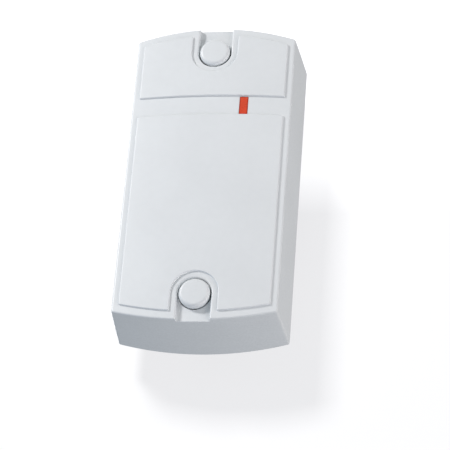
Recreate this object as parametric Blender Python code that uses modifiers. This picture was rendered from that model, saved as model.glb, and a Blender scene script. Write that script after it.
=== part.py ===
"""A compact wall-mounted proximity card reader, as an assembly of separate pieces.

Frame: metres, +Z up the long side of the case, the front facing -Y, and the origin at the centre
of the back face, which lies on the wall. A height is a distance out from the wall, so it is -Y.
"""

import math

import bmesh
import bpy
from mathutils import Matrix, Vector

MM = 0.001

# Case
CASE_WIDTH = 43.0 * MM  # at the wall
CASE_HEIGHT = 85.0 * MM
END_RISE = 2.87 * MM  # how far each end bows out beyond its corners
FACE_HEIGHT = 18.5 * MM  # rim of the front, on the centre line
SIDE_DRAFT = 1.05 * MM  # how far each side leans in by the front
END_DRAFT = 0.55 * MM
CROWN = 1.38 * MM  # how far the front falls from its centre line to its long edges
WALL = 2.4 * MM
FRONT_WALL = 2.0 * MM
CASE_EDGE = 0.45 * MM
CROWN_STRIP = 3.0 * MM
BEND_FROM = 10.0 * MM  # nothing lower than this is moved by the crown

# Raised panels on the front
PANEL_RAISE = 0.5 * MM
PANEL_HALF_WIDTH = 18.7 * MM
PANEL_END_INSET = 2.15 * MM
UPPER_PANEL_FOOT = 21.5 * MM
LOWER_PANEL_TOP = 16.0 * MM
PANEL_EDGE = 0.2 * MM

# Screw caps, their recesses and the pry channels that run out to the ends
SCREW_Z = 34.7 * MM
RECESS_RADIUS = 4.05 * MM
CHANNEL_HALF_WIDTH = 4.2 * MM
CHANNEL_FLOOR = 17.2 * MM
COLLAR_RADIUS = 5.9 * MM
SHOULDER = 9.5 * MM
COLUMN_RADIUS = 6.0 * MM
SCREW_BORE = 2.2 * MM
CAP_RADIUS = 3.87 * MM
CAP_TOP = 19.15 * MM
CAP_EDGE = 0.75 * MM
CAP_DISC = 1.7 * MM
CAP_SKIRT_FOOT = 13.7 * MM
FINGER_SLOT = 1.2 * MM

# Indicator window
WINDOW_X = 8.475 * MM
WINDOW_Z = 18.7 * MM
WINDOW_WIDTH = 2.15 * MM
WINDOW_LENGTH = 5.2 * MM
LENS_FOOT = 10.7 * MM
LENS_FLANGE_REAR = 15.1 * MM
LENS_FLANGE_FRONT = 16.4 * MM

# Rear plate, seal and label
PLATE_INSET = 1.3 * MM
PLATE_SEAT_INSET = 1.2 * MM
PLATE_THICKNESS = 2.0 * MM
LEDGE = 2.8 * MM
SEAL_GAP = 0.06 * MM
CABLE_HOLE = 4.6 * MM
LABEL_SIZE = (28.0 * MM, 15.0 * MM)
LABEL_Z = -19.0 * MM
LABEL_RECESS = 0.4 * MM

# Fasteners
CASE_SCREW_X, CASE_SCREW_Z = 14.0 * MM, 32.0 * MM
BOARD_SCREW_X, BOARD_SCREW_Z = 11.9 * MM, 21.0 * MM
CASE_BOSS, CASE_PILOT = 2.4 * MM, 0.95 * MM  # radii
BOARD_BOSS, BOARD_PILOT = 1.9 * MM, 0.87 * MM
BOSS_BITE = 0.8 * MM  # how far a boss runs into the front wall
CASE_PILOT_END = 10.0 * MM
BOARD_PILOT_END = 13.5 * MM

# Circuit board
BOARD_HALF = (17.6 * MM, 27.0 * MM)
BOARD_REAR = 7.4 * MM
BOARD_FRONT = 9.0 * MM

# Antenna
FORMER_INNER = (14.3 * MM, 23.4 * MM)
FORMER_REAR, FORMER_FRONT = 11.2 * MM, 15.0 * MM
FORMER_WALL, FLANGE, WINDING_DEPTH = 0.9 * MM, 0.8 * MM, 1.7 * MM

# Cable
CABLE_Z = 12.0 * MM
JACKET_RADIUS, JACKET_BORE = 2.8 * MM, 2.15 * MM
JACKET_INSIDE_END, JACKET_OUTSIDE_END = 3.6 * MM, -30.0 * MM
WIRE_RADIUS = 0.42 * MM
WIRE_PITCH = 1.8 * MM
WIRE_SPACING = 1.12 * MM  # between wires inside the jacket
WIRE_END = -43.0 * MM
PLUG_Z = CABLE_Z - 14.5 * MM

GAP = 0.06 * MM  # between neighbours that rest on one another
ROUND_STEPS = 24

LIGHT_GREY = (0.74, 0.77, 0.79)
MID_GREY = (0.42, 0.44, 0.46)
BLACK_EPOXY = (0.02, 0.02, 0.022)
STEEL = (0.62, 0.62, 0.60)
WIRE_COLOURS = {
    "red": (0.55, 0.02, 0.02),
    "black": (0.02, 0.02, 0.02),
    "green": (0.02, 0.28, 0.06),
    "white": (0.80, 0.80, 0.78),
    "brown": (0.16, 0.06, 0.025),
    "blue": (0.02, 0.08, 0.42),
    "orange": (0.75, 0.20, 0.02),
    "yellow": (0.80, 0.62, 0.04),
}


# ---------------------------------------------------------------- scene and materials


def clear_scene():
    for obj in list(bpy.data.objects):
        bpy.data.objects.remove(obj, do_unlink=True)


def new_collection(name):
    collection = bpy.data.collections.new(name)
    bpy.context.scene.collection.children.link(collection)
    return collection


clear_scene()
READER = new_collection("proximity_card_reader")
CUTTERS = new_collection("cutters")


def finish(obj, colour, roughness, metallic=0.0):
    """Give the piece its own Principled BSDF material."""
    material = bpy.data.materials.new(obj.name)
    material.use_nodes = True
    shader = material.node_tree.nodes["Principled BSDF"]
    shader.inputs["Base Color"].default_value = (*colour, 1.0)
    shader.inputs["Roughness"].default_value = roughness
    shader.inputs["Metallic"].default_value = metallic
    obj.data.materials.clear()
    obj.data.materials.append(material)
    return obj


def add_object(name, mesh):
    obj = bpy.data.objects.new(name, mesh)
    READER.objects.link(obj)
    return obj


# ---------------------------------------------------------------- outlines, as (x, z) points


def arc(centre, radius, start, end, steps):
    """Points on a circle from one angle to another, in degrees."""
    angles = [math.radians(start + (end - start) * i / steps) for i in range(steps + 1)]
    return [
        (centre[0] + radius * math.cos(a), centre[1] + radius * math.sin(a)) for a in angles
    ]


def end_curve(width, height, rise):
    """Radius of the bowed end of a case outline, and its centre's distance above the middle."""
    radius = ((width / 2) ** 2 + rise**2) / (2 * rise)
    return radius, height / 2 - radius


def case_outline(inset, steps=12):
    """The case's outline at the wall, set in by a margin: straight sides and bowed ends."""
    radius, centre_z = end_curve(CASE_WIDTH, CASE_HEIGHT, END_RISE)
    half = CASE_WIDTH / 2 - inset
    spread = math.degrees(math.asin(half / (radius - inset)))
    top = arc((0, centre_z), radius - inset, 90 - spread, 90 + spread, steps)
    return top + [(-x, -z) for x, z in top]


def rounded_rectangle(half_x, half_z, radius, steps=4, centre=(0.0, 0.0)):
    points = []
    for corner, (sx, sz) in enumerate(((1, 1), (-1, 1), (-1, -1), (1, -1))):
        middle = (centre[0] + sx * (half_x - radius), centre[1] + sz * (half_z - radius))
        points += arc(middle, radius, 90 * corner, 90 * corner + 90, steps)
    return points


def circle(centre, radius, steps=ROUND_STEPS):
    return arc(centre, radius, 0, 360, steps)[:-1]


def front_scale():
    """How much smaller the case outline is at the front than at the wall."""
    return 1 - 2 * SIDE_DRAFT / CASE_WIDTH, 1 - 2 * END_DRAFT / CASE_HEIGHT


def panel_outline(foot, side):
    """A raised panel: a straight inner edge, a bowed end, and a U round the screw cap.

    foot is how far the straight edge lies from the middle, towards the panel's own end of the
    case. side is 1 for the upper panel and -1 for the lower one.
    """
    scale_x, scale_z = front_scale()
    radius, centre_z = end_curve(CASE_WIDTH * scale_x, CASE_HEIGHT * scale_z, END_RISE)
    radius -= PANEL_END_INSET
    outer = math.degrees(math.acos(PANEL_HALF_WIDTH / radius))
    inner = math.degrees(math.acos(COLLAR_RADIUS / radius))
    right_end = arc((0, centre_z), radius, outer, inner, 5)
    collar = arc((0, SCREW_Z), COLLAR_RADIUS, 0, -180, 20)
    left_end = [(-x, z) for x, z in reversed(right_end)]
    straight = [(-PANEL_HALF_WIDTH, foot), (PANEL_HALF_WIDTH, foot)]
    return [(x, side * z) for x, z in straight + right_end + collar + left_end]


# ---------------------------------------------------------------- solids


def slab(name, outlines, rear, front):
    """A flat plate between two heights. Outlines after the first are holes in it."""
    curve = bpy.data.curves.new(name, "CURVE")
    curve.dimensions = "2D"
    curve.fill_mode = "BOTH"
    curve.extrude = (front - rear) / 2
    for outline in outlines:
        spline = curve.splines.new("POLY")
        spline.points.add(len(outline) - 1)
        spline.use_cyclic_u = True
        for point, (x, z) in zip(spline.points, outline):
            point.co = (x, z, 0, 1)
    flat = bpy.data.objects.new(name + "_curve", curve)
    READER.objects.link(flat)
    flat.rotation_euler = (math.pi / 2, 0, 0)
    flat.location = (0, -(rear + front) / 2, 0)
    return meshed(flat, name)


def meshed(source, name, weld=1e-7):
    """Turn a curve object into a mesh object in world coordinates, with its caps welded on."""
    bpy.context.view_layer.update()
    graph = bpy.context.evaluated_depsgraph_get()
    mesh = bpy.data.meshes.new_from_object(source.evaluated_get(graph))
    mesh.transform(source.matrix_world)
    edit = bmesh.new()
    edit.from_mesh(mesh)
    bmesh.ops.remove_doubles(edit, verts=edit.verts, dist=weld)
    bmesh.ops.recalc_face_normals(edit, faces=edit.faces)
    edit.to_mesh(mesh)
    edit.free()
    mesh.name = name
    bpy.data.objects.remove(source, do_unlink=True)
    return add_object(name, mesh)


def block(name, size, centre):
    """A box with its size and centre as (x, height, z)."""
    edit = bmesh.new()
    place = Matrix.Translation((centre[0], -centre[1], centre[2]))
    bmesh.ops.create_cube(edit, size=1.0, matrix=place @ Matrix.Diagonal((*size, 1.0)))
    mesh = bpy.data.meshes.new(name)
    edit.to_mesh(mesh)
    edit.free()
    return add_object(name, mesh)


def turned(name, profile, x=0.0, z=0.0, closed=False, steps=ROUND_STEPS):
    """A turned shape about an axis out of the wall. The profile holds (radius, height) points.

    It runs from the top down the outer side, and a closed one comes back up the bore.
    """
    edit = bmesh.new()
    points = [edit.verts.new((radius, 0, height)) for radius, height in profile]
    pairs = list(zip(points, points[1:]))
    if closed:
        pairs.append((points[-1], points[0]))
    for pair in pairs:
        edit.edges.new(pair)
    mesh = bpy.data.meshes.new(name)
    edit.to_mesh(mesh)
    edit.free()
    obj = add_object(name, mesh)
    obj.rotation_euler = (math.pi / 2, 0, 0)
    obj.location = (x, 0, z)
    screw = obj.modifiers.new("turn", "SCREW")
    screw.steps = screw.render_steps = steps
    screw.use_merge_vertices = True
    screw.merge_threshold = 1e-6
    screw.use_smooth_shade = True
    return obj


def tube(name, points, radius):
    """A round wire along a path of (x, height, z) points."""
    curve = bpy.data.curves.new(name, "CURVE")
    curve.dimensions = "3D"
    curve.bevel_depth = radius
    curve.bevel_resolution = 2
    curve.use_fill_caps = True
    spline = curve.splines.new("POLY")
    spline.points.add(len(points) - 1)
    for point, (x, height, z) in zip(spline.points, points):
        point.co = (x, -height, z, 1)
    obj = bpy.data.objects.new(name + "_curve", curve)
    READER.objects.link(obj)
    return meshed(obj, name)


def as_cutter(obj):
    """Move a helper solid out of the reader, so that it is neither drawn nor built."""
    READER.objects.unlink(obj)
    CUTTERS.objects.link(obj)
    obj.hide_render = True
    obj.display_type = "WIRE"
    return obj


def combine(target, other, operation):
    modifier = target.modifiers.new(other.name, "BOOLEAN")
    modifier.operation = operation
    modifier.solver = "EXACT"
    modifier.object = as_cutter(other)
    return target


def cut(target, *cutters):
    for cutter in cutters:
        combine(target, cutter, "DIFFERENCE")
    return target


def join(target, *pieces):
    for piece in pieces:
        combine(target, piece, "UNION")
    return target


def round_edges(obj, width, segments=2, angle=40):
    bevel = obj.modifiers.new("round", "BEVEL")
    bevel.width = width
    bevel.segments = segments
    bevel.limit_method = "ANGLE"
    bevel.angle_limit = math.radians(angle)
    return obj


def smooth(obj, angle=35):
    obj.data.shade_smooth()
    obj.data.set_sharp_from_angle(angle=math.radians(angle))
    return obj


def fix_shape(obj):
    """Replace an object's mesh by its evaluated shape, and drop its modifiers."""
    bpy.context.view_layer.update()
    graph = bpy.context.evaluated_depsgraph_get()
    mesh = bpy.data.meshes.new_from_object(obj.evaluated_get(graph))
    obj.modifiers.clear()
    obj.data = mesh
    return obj


def crown_fall(x):
    """How far the front has fallen at this distance from the centre line."""
    half = CASE_WIDTH / 2 - SIDE_DRAFT
    return CROWN * (x / half) ** 2


def bend_to_crown(obj):
    """Bow a piece modelled flat, so that its front follows the crowned front of the case.

    It is cut into narrow strips first. Only what stands above BEND_FROM is pressed down.
    """
    fix_shape(obj)
    edit = bmesh.new()
    edit.from_mesh(obj.data)
    lowest = min(v.co.x for v in edit.verts)
    highest = max(v.co.x for v in edit.verts)
    for i in range(math.ceil(lowest / CROWN_STRIP), math.floor(highest / CROWN_STRIP) + 1):
        everything = edit.verts[:] + edit.edges[:] + edit.faces[:]
        plane = Vector((i * CROWN_STRIP, 0, 0))
        bmesh.ops.bisect_plane(edit, geom=everything, dist=1e-7, plane_co=plane, plane_no=(1, 0, 0))
    bmesh.ops.triangulate(edit, faces=edit.faces)
    for vertex in edit.verts:
        share = max(0, -vertex.co.y - BEND_FROM) / (FACE_HEIGHT - BEND_FROM)
        vertex.co.y += crown_fall(vertex.co.x) * share
    edit.to_mesh(obj.data)
    edit.free()
    return obj


def drafted_slab(name, inset, rear, front):
    """A slab of the case's outline whose sides lean in towards the front of the case."""
    obj = slab(name, [case_outline(inset)], rear, front)
    scale_x, scale_z = front_scale()
    for vertex in obj.data.vertices:
        share = -vertex.co.y / FACE_HEIGHT
        vertex.co.x *= 1 + (scale_x - 1) * share
        vertex.co.z *= 1 + (scale_z - 1) * share
    return obj


# ---------------------------------------------------------------- case


def make_front_cover():
    cover = drafted_slab("front_cover", 0, 0, FACE_HEIGHT)
    round_edges(cover, CASE_EDGE)
    inside = FACE_HEIGHT - FRONT_WALL
    top = FACE_HEIGHT + 2 * MM
    for name, foot, side in (
        ("upper_panel", UPPER_PANEL_FOOT, 1),
        ("lower_panel", -LOWER_PANEL_TOP, -1),
    ):
        outline = panel_outline(foot, side)
        panel = slab(name, [outline], FACE_HEIGHT - 1 * MM, FACE_HEIGHT + PANEL_RAISE)
        join(cover, round_edges(panel, PANEL_EDGE, segments=1))
    cut(
        cover,
        drafted_slab("cavity", WALL, PLATE_THICKNESS, inside),
        slab("plate_seat", [case_outline(PLATE_SEAT_INSET)], -1 * MM, LEDGE),
    )
    for side, word in ((1, "upper"), (-1, "lower")):
        z = side * SCREW_Z
        column = [circle((0, z), COLUMN_RADIUS)]
        join(cover, slab(word + "_column", column, LEDGE, inside + 1 * MM))
    for sx in (-1, 1):
        for sz in (-1, 1):
            place = (sx * CASE_SCREW_X, sz * CASE_SCREW_Z)
            foot = PLATE_THICKNESS + 0.1 * MM
            boss = [circle(place, CASE_BOSS, 16)]
            join(cover, slab("case_boss", boss, foot, inside + BOSS_BITE))
            pilot = [circle(place, CASE_PILOT, 8)]
            cut(cover, slab("case_pilot", pilot, 1 * MM, CASE_PILOT_END))
            place = (sx * BOARD_SCREW_X, sz * BOARD_SCREW_Z)
            boss = [circle(place, BOARD_BOSS, 12)]
            join(cover, slab("board_boss", boss, BOARD_FRONT + GAP, inside + BOSS_BITE))
            pilot = [circle(place, BOARD_PILOT, 8)]
            cut(cover, slab("board_pilot", pilot, 8 * MM, BOARD_PILOT_END))
    for side, word in ((1, "upper"), (-1, "lower")):
        z = side * SCREW_Z
        reach = CASE_HEIGHT / 2 + 3 * MM - SCREW_Z
        bend = arc((0, 0), CHANNEL_HALF_WIDTH, 0, -180, 20)
        outline = [(CHANNEL_HALF_WIDTH, reach)] + bend + [(-CHANNEL_HALF_WIDTH, reach)]
        channel = [(x, side * (SCREW_Z + dz)) for x, dz in outline]
        cut(
            cover,
            slab(word + "_channel", [channel], CHANNEL_FLOOR, top),
            slab(word + "_recess", [circle((0, z), RECESS_RADIUS)], SHOULDER, top + 1 * MM),
            slab(word + "_bore", [circle((0, z), SCREW_BORE, 24)], -2 * MM, top + 2 * MM),
        )
    half_x, half_z = WINDOW_WIDTH / 2 + GAP, WINDOW_LENGTH / 2 + GAP
    slot = rounded_rectangle(half_x, half_z, 0.2 * MM, 2, (WINDOW_X, WINDOW_Z))
    cut(cover, slab("window_slot", [slot], inside - 3 * MM, top))
    return finish(smooth(bend_to_crown(cover)), LIGHT_GREY, 0.42)


def make_rear_plate():
    outline = case_outline(PLATE_INSET)
    plate = slab("rear_plate", [outline], 0, PLATE_THICKNESS)
    round_edges(plate, 0.25 * MM, segments=1)
    label_half = [side / 2 + 0.4 * MM for side in LABEL_SIZE]
    recess = rounded_rectangle(*label_half, 1.2 * MM, 4, (0, LABEL_Z))
    cut(plate, slab("label_recess", [recess], -1 * MM, LABEL_RECESS))
    cut(plate, slab("cable_hole", [circle((0, CABLE_Z), CABLE_HOLE)], -1 * MM, 3 * MM))
    for side in (-1, 1):
        hole = circle((0, side * SCREW_Z), 2.3 * MM, 24)
        cut(plate, slab("mounting_hole", [hole], -1 * MM, 3 * MM))
        for sz in (-1, 1):
            sink = [(0, 3 * MM), (1.2 * MM, 3 * MM), (1.2 * MM, 1.3 * MM), (2.5 * MM, 0)]
            sink += [(2.5 * MM, -1 * MM), (0, -1 * MM)]
            cut(plate, turned("countersink", sink, side * CASE_SCREW_X, sz * CASE_SCREW_Z, steps=20))
    return finish(smooth(plate), MID_GREY, 0.5)


def make_perimeter_seal():
    outlines = [case_outline(PLATE_INSET), case_outline(WALL)]
    seal = slab("perimeter_seal", outlines, PLATE_THICKNESS + SEAL_GAP, LEDGE - SEAL_GAP)
    return finish(smooth(seal), (0.03, 0.03, 0.03), 0.7)


def make_rear_label():
    half_x, half_z = (side / 2 for side in LABEL_SIZE)
    outline = rounded_rectangle(half_x, half_z, 1.0 * MM, 4, (0, LABEL_Z))
    label = slab("rear_label", [outline], 0.1 * MM, LABEL_RECESS - GAP)
    return finish(smooth(label), (0.72, 0.72, 0.70), 0.35)


def make_screw_cap(name, side):
    """A disc with a rounded edge, over a skirt that is slotted into four springy fingers."""
    skirt_outer, skirt_inner = CAP_RADIUS - 0.2 * MM, CAP_RADIUS - 1.1 * MM
    under = CAP_TOP - CAP_DISC
    edge = arc((CAP_RADIUS - CAP_EDGE, CAP_TOP - CAP_EDGE), CAP_EDGE, 90, 0, 3)
    profile = [(0, CAP_TOP)] + edge + [
        (CAP_RADIUS, under),
        (skirt_outer, under - 0.2 * MM),
        (skirt_outer, CAP_SKIRT_FOOT + 1.0 * MM),
        (skirt_outer + 0.12 * MM, CAP_SKIRT_FOOT + 0.6 * MM),
        (skirt_outer - 0.3 * MM, CAP_SKIRT_FOOT),
        (skirt_inner, CAP_SKIRT_FOOT),
        (skirt_inner, under),
        (0, under),
    ]
    cap = turned(name, profile, 0, side * SCREW_Z)
    height = (CAP_SKIRT_FOOT + under) / 2 - 0.6 * MM
    long, across, deep = 9 * MM, FINGER_SLOT, under - CAP_SKIRT_FOOT
    for size in ((long, deep, across), (across, deep, long)):
        cut(cap, block("finger_slot", size, (0, height, side * SCREW_Z)))
    return finish(smooth(cap), LIGHT_GREY, 0.42)


def make_indicator_lens():
    """A light pipe: a bar up to the window, over a flange that stops it falling out."""
    place = (WINDOW_X, WINDOW_Z)
    bar = rounded_rectangle(WINDOW_WIDTH / 2, WINDOW_LENGTH / 2, 0.15 * MM, 2, place)
    lens = slab("indicator_lens", [bar], LENS_FOOT, FACE_HEIGHT)
    half_x, half_z = WINDOW_WIDTH / 2 + 0.3 * MM, WINDOW_LENGTH / 2 + 0.9 * MM
    flange = rounded_rectangle(half_x, half_z, 0.3 * MM, 2, place)
    join(lens, slab("lens_flange", [flange], LENS_FLANGE_REAR, LENS_FLANGE_FRONT))
    return finish(smooth(bend_to_crown(lens)), (0.72, 0.05, 0.03), 0.25)


# ---------------------------------------------------------------- fasteners


def add_cross_recess(screw, x, height, z, length, width, depth):
    """Cut a cross in a screw head. Depth is negative where the head faces the wall."""
    middle = height - depth / 2
    for size in ((length, abs(depth) * 1.2, width), (width, abs(depth) * 1.2, length)):
        centre = (x, middle + depth * 0.1, z)
        cut(screw, block("cross_recess", size, centre))


def make_mounting_screw(name, side):
    """A pan-head wood screw through the case, its tip standing out behind the wall face."""
    seat, head_radius, shank = SHOULDER + GAP, 3.5 * MM, 1.75 * MM
    head_top, tip, taper = seat + 2.5 * MM, -10.5 * MM, -7.5 * MM
    profile = [(0, head_top), (1.8 * MM, head_top), (2.9 * MM, head_top - 0.4 * MM)]
    profile += [(head_radius, head_top - 1.2 * MM), (head_radius, seat), (shank, seat)]
    profile += [(shank, taper), (0, tip)]
    screw = turned(name, profile, 0, side * SCREW_Z, steps=24)
    add_cross_recess(screw, 0, head_top, side * SCREW_Z, 3.8 * MM, 0.9 * MM, 1.4 * MM)
    return finish(smooth(screw), STEEL, 0.3, 1.0)


def make_case_screw(name, x, z):
    """A countersunk screw, in from the back."""
    profile = [(0, 8 * MM), (0.5 * MM, 8 * MM), (0.85 * MM, 7 * MM), (0.85 * MM, 1.4 * MM)]
    profile += [(2.15 * MM, 0.15 * MM), (2.15 * MM, 0.05 * MM), (0, 0.05 * MM)]
    screw = turned(name, profile, x, z, steps=16)
    add_cross_recess(screw, x, 0, z, 2.4 * MM, 0.6 * MM, -0.9 * MM)
    return finish(smooth(screw), STEEL, 0.3, 1.0)


def make_board_screw(name, x, z):
    """A pan-head screw that holds the board to a boss, its head towards the wall."""
    seat = BOARD_REAR - GAP
    profile = [(0, 12.8 * MM), (0.4 * MM, 12.8 * MM), (0.75 * MM, 12 * MM), (0.75 * MM, seat)]
    profile += [(1.8 * MM, seat), (1.8 * MM, seat - 0.8 * MM), (1.3 * MM, seat - 1.3 * MM)]
    profile += [(0, seat - 1.3 * MM)]
    screw = turned(name, profile, x, z, steps=16)
    add_cross_recess(screw, x, seat - 1.3 * MM, z, 2.0 * MM, 0.5 * MM, -0.7 * MM)
    return finish(smooth(screw), STEEL, 0.3, 1.0)


# ---------------------------------------------------------------- antenna and board


def make_coil_former():
    rear, front = FORMER_REAR, FORMER_FRONT
    inner = FORMER_INNER
    core = [half + FORMER_WALL for half in inner]
    outer = [half + WINDING_DEPTH for half in core]
    outlines = [rounded_rectangle(*outer, 4.2 * MM), rounded_rectangle(*inner, 1.8 * MM)]
    former = slab("coil_former", outlines, rear, front)
    beyond = [half + 2 * MM for half in outer]
    groove = [rounded_rectangle(*beyond, 6 * MM), rounded_rectangle(*core, 2.6 * MM)]
    cut(former, slab("winding_groove", groove, rear + FLANGE, front - FLANGE))
    for side in (-1, 1):
        for sz in (-1, 1):
            centre = (side * (inner[0] + 0.9 * MM), 10.55 * MM, sz * 14 * MM)
            join(former, block("foot", (1.4 * MM, 3 * MM, 4 * MM), centre))
    return finish(smooth(former), (0.05, 0.05, 0.055), 0.5)


def winding_halves(clearance):
    core = [half + FORMER_WALL for half in FORMER_INNER]
    return [half + clearance for half in core], [half + WINDING_DEPTH - 0.2 * MM for half in core]


def make_antenna_coil():
    inner, outer = winding_halves(0.1 * MM)
    outlines = [rounded_rectangle(*outer, 4.0 * MM), rounded_rectangle(*inner, 2.7 * MM)]
    rear, front = FORMER_REAR + FLANGE + 0.1 * MM, FORMER_FRONT - FLANGE - 0.1 * MM
    coil = slab("antenna_coil", outlines, rear, front)
    round_edges(coil, 0.3 * MM, segments=1, angle=60)
    return finish(smooth(coil), (0.50, 0.18, 0.06), 0.3, 0.8)


def make_coil_lead(name, x):
    outer = winding_halves(0)[1]
    start = -outer[1] - 0.12 * MM
    out = start - 0.35 * MM
    foot = BOARD_FRONT + GAP
    path = [(x, 13 * MM, start), (x, 12.9 * MM, out), (x, 10 * MM, out - 0.1 * MM), (x, foot, out)]
    return finish(smooth(tube(name, path, 0.2 * MM)), (0.55, 0.22, 0.08), 0.3, 0.8)


def make_circuit_board():
    outlines = [rounded_rectangle(*BOARD_HALF, 1.5 * MM)]
    for sx in (-1, 1):
        for sz in (-1, 1):
            outlines.append(circle((sx * BOARD_SCREW_X, sz * BOARD_SCREW_Z), 1.1 * MM, 16))
    board = slab("circuit_board", outlines, BOARD_REAR, BOARD_FRONT)
    return finish(smooth(board), (0.02, 0.16, 0.06), 0.35)


def on_board(size, side, x, z):
    """Centre of a component of this size, standing on the board's front (1) or rear (-1)."""
    face = BOARD_FRONT if side > 0 else BOARD_REAR
    return (x, face + side * (size[1] / 2 + GAP), z)


def make_chip(name, size, side, x, z, colour=BLACK_EPOXY, roughness=0.45, metallic=0.0):
    """A moulded component with slightly rounded edges. Size is (x, height, z)."""
    chip = block(name, size, on_board(size, side, x, z))
    round_edges(chip, min(size) * 0.12, segments=1)
    return finish(smooth(chip), colour, roughness, metallic)


def add_legs(chip, side, x, z, reach, height, per_side, pitch, both_ways=False):
    """Join rows of gull-wing legs to a chip body, along z and, on a square chip, along x too."""
    for i in range(per_side):
        step = (i - (per_side - 1) / 2) * pitch
        size = (reach * 2, height, pitch * 0.45)
        join(chip, block(chip.name + "_leg", size, on_board(size, side, x, z + step)))
        if both_ways:
            size = (pitch * 0.45, height, reach * 2)
            join(chip, block(chip.name + "_leg", size, on_board(size, side, x + step, z)))


def make_front_components():
    processor = make_chip("microcontroller", (7 * MM, 1.2 * MM, 7 * MM), 1, -3 * MM, -6 * MM)
    add_legs(processor, 1, -3 * MM, -6 * MM, 4.4 * MM, 0.5 * MM, 6, 1.0 * MM, both_ways=True)
    front_end = make_chip("rf_front_end_chip", (3.9 * MM, 1.4 * MM, 8.6 * MM), 1, -5 * MM, 8 * MM)
    add_legs(front_end, 1, -5 * MM, 8 * MM, 3.0 * MM, 0.5 * MM, 7, 1.2 * MM)
    make_chip("resonator", (5 * MM, 1.2 * MM, 3.2 * MM), 1, 7.5 * MM, -6 * MM, STEEL, 0.3, 1.0)
    for i, z in enumerate((5.0, 9.5), 1):
        name = f"tuning_capacitor_{i}"
        make_chip(name, (3.2 * MM, 1.3 * MM, 2.5 * MM), 1, 4 * MM, z * MM, (0.45, 0.30, 0.16), 0.4)
    led = (3.0 * MM, 1.4 * MM, 3.2 * MM)
    make_chip("indicator_led", led, 1, WINDOW_X, WINDOW_Z, (0.85, 0.82, 0.72), 0.3)
    for i, x in enumerate((-4.5, -1.0, 2.5), 1):
        make_chip(f"resistor_{i}", (2 * MM, 0.6 * MM, 1.25 * MM), 1, x * MM, 18 * MM, (0.03, 0.03, 0.03))


def make_rear_components():
    tab = make_chip("voltage_regulator", (6.5 * MM, 1.6 * MM, 3.5 * MM), -1, -10.5 * MM, 9 * MM)
    size = (3.0 * MM, 0.5 * MM, 7.0 * MM)
    join(tab, block("regulator_tab", size, on_board(size, -1, -10.5 * MM, 9 * MM)))
    make_chip("protection_diode", (4.3 * MM, 2.2 * MM, 3.6 * MM), -1, -10.5 * MM, -12 * MM)
    for i, z in enumerate((9.5, 4.0), 1):
        size = (6.0 * MM, 2.6 * MM, 3.2 * MM)
        make_chip(f"reservoir_capacitor_{i}", size, -1, 11 * MM, z * MM, (0.62, 0.38, 0.06), 0.4)
    rear = BOARD_REAR - GAP
    profile = [(0, rear), (4.5 * MM, rear), (4.5 * MM, rear - 3.6 * MM), (4.2 * MM, rear - 3.9 * MM)]
    profile += [(1.0 * MM, rear - 3.9 * MM), (1.0 * MM, rear - 3.2 * MM), (0, rear - 3.2 * MM)]
    finish(smooth(turned("sounder", profile, 0, -14.5 * MM)), (0.03, 0.03, 0.032), 0.4)


# ---------------------------------------------------------------- cable


def make_wire_connector():
    """A shrouded header on the board's rear, with the cable's plug pushed into it."""
    length = WIRE_PITCH * len(WIRE_COLOURS)
    size = (length + 4.2 * MM, 4.2 * MM, 6.4 * MM)
    header = block("board_header", size, on_board(size, -1, 0, PLUG_Z))
    middle = BOARD_REAR - 2.2 * MM
    hollow = (length + 2.6 * MM, 2.8 * MM, 6.4 * MM)
    cut(header, block("header_hollow", hollow, (0, middle, PLUG_Z + 1.2 * MM)))
    finish(smooth(header), (0.75, 0.72, 0.62), 0.45)
    size = (length + 2.4 * MM, 2.6 * MM, 6.0 * MM)
    plug = block("cable_plug", size, (0, middle, PLUG_Z + 1.3 * MM))
    for i in range(len(WIRE_COLOURS)):
        x = (i - (len(WIRE_COLOURS) - 1) / 2) * WIRE_PITCH
        socket = (WIRE_RADIUS * 2 + 0.2 * MM, WIRE_RADIUS * 2 + 0.2 * MM, 4 * MM)
        cut(plug, block("wire_socket", socket, (x, middle, PLUG_Z + 4.3 * MM)))
    return finish(smooth(plug), (0.70, 0.68, 0.60), 0.45)


def rounded_path(corners, radius, steps=2):
    """The corner points joined by straight runs, with each inner corner rounded off."""
    points = [Vector(corners[0])]
    for before, corner, after in zip(corners, corners[1:], corners[2:]):
        before, corner, after = Vector(before), Vector(corner), Vector(after)
        reach = min(radius, (corner - before).length * 0.45, (after - corner).length * 0.45)
        start = corner + (before - corner).normalized() * reach
        end = corner + (after - corner).normalized() * reach
        for i in range(steps + 1):
            t = i / steps
            points.append(start * (1 - t) ** 2 + corner * 2 * t * (1 - t) + end * t**2)
    points.append(Vector(corners[-1]))
    return [tuple(point) for point in points]


def wire_slots():
    """Where each wire lies inside the jacket, as (x, z, height of its run over the board).

    z is measured from the cable's axis.

    The wires lie in three rows. A row farther from the plug runs closer to the board, so that
    it passes under the rows that turn out of the case before it.
    """
    rows = ((-1, (-1, 0, 1), 4.55), (0, (-1, 0, 1), 5.7), (1, (-0.5, 0.5), 6.85))
    slots = []
    for row, places, height in rows:
        slots += [(place * WIRE_SPACING, row * WIRE_SPACING, height * MM) for place in places]
    return slots


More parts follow.
